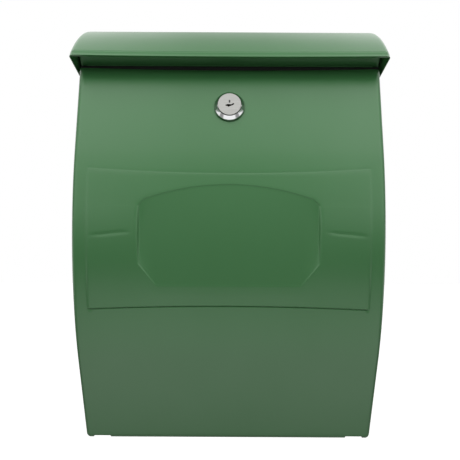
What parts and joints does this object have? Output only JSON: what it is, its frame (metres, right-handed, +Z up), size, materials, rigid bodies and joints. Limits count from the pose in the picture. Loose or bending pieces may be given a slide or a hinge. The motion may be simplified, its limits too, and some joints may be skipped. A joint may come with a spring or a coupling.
{
  "type": "wall mounted mailbox",
  "caption": "Green bowed wall mailbox with a hinged rain lid over the mail slot, a drop-down front with a cam lock, and keyholes in the back.",
  "frame": {"origin": "on the back, in the wall's plane, midway across and level with the bow's most forward line", "axes": "+X to the right seen from the front, +Y into the wall, +Z up"},
  "size_m": [0.307, 0.1187, 0.4342],
  "materials": {
    "green_plastic": "satin, smooth moulded",
    "bright_chrome": "polished, lightly brushed face",
    "brass": "stamped",
    "rubber": "matt",
    "zinc_steel": "zinc plated"
  },
  "bodies": {
    "housing": {"housing_shell": "green_plastic", "slot_rail": "green_plastic", "rail_screw_lower_left": "zinc_steel", "rail_screw_lower_right": "zinc_steel", "rail_screw_upper_left": "zinc_steel", "rail_screw_upper_right": "zinc_steel", "lid_pivot_pin_left": "zinc_steel", "lid_pivot_pin_right": "zinc_steel", "door_hinge_pin_left": "zinc_steel", "door_hinge_pin_right": "zinc_steel"},
    "lid": {"lid_hood": "green_plastic"},
    "door": {"door_panel": "green_plastic", "lock_gasket": "rubber", "lock_trim_ring": "bright_chrome", "lock_barrel": "zinc_steel", "lock_washer": "zinc_steel", "lock_nut": "zinc_steel"},
    "lock": {"lock_plug": "bright_chrome", "lock_wafer_1": "brass", "lock_wafer_2": "brass", "lock_wafer_3": "brass", "lock_wafer_4": "brass", "lock_wafer_5": "brass", "lock_cam": "zinc_steel", "cam_washer": "zinc_steel", "cam_screw": "zinc_steel"}
  },
  "joints": [
    {"name": "lid_hinge", "type": "hinge", "parent": "housing", "child": "lid", "pos_m": [0, -0.011, 0.206], "axis": [-1, 0, 0], "range_deg": [0, 75]},
    {"name": "door_hinge", "type": "hinge", "parent": "housing", "child": "door", "pos_m": [0, -0.0346, -0.21], "axis": [1, 0, 0], "range_deg": [0, 100]},
    {"name": "lock_turn", "type": "hinge", "parent": "door", "child": "lock", "pos_m": [0, -0.09541, 0.1205], "axis": [0, -0.9636, 0.2672], "range_deg": [0, 90]}
  ]
}
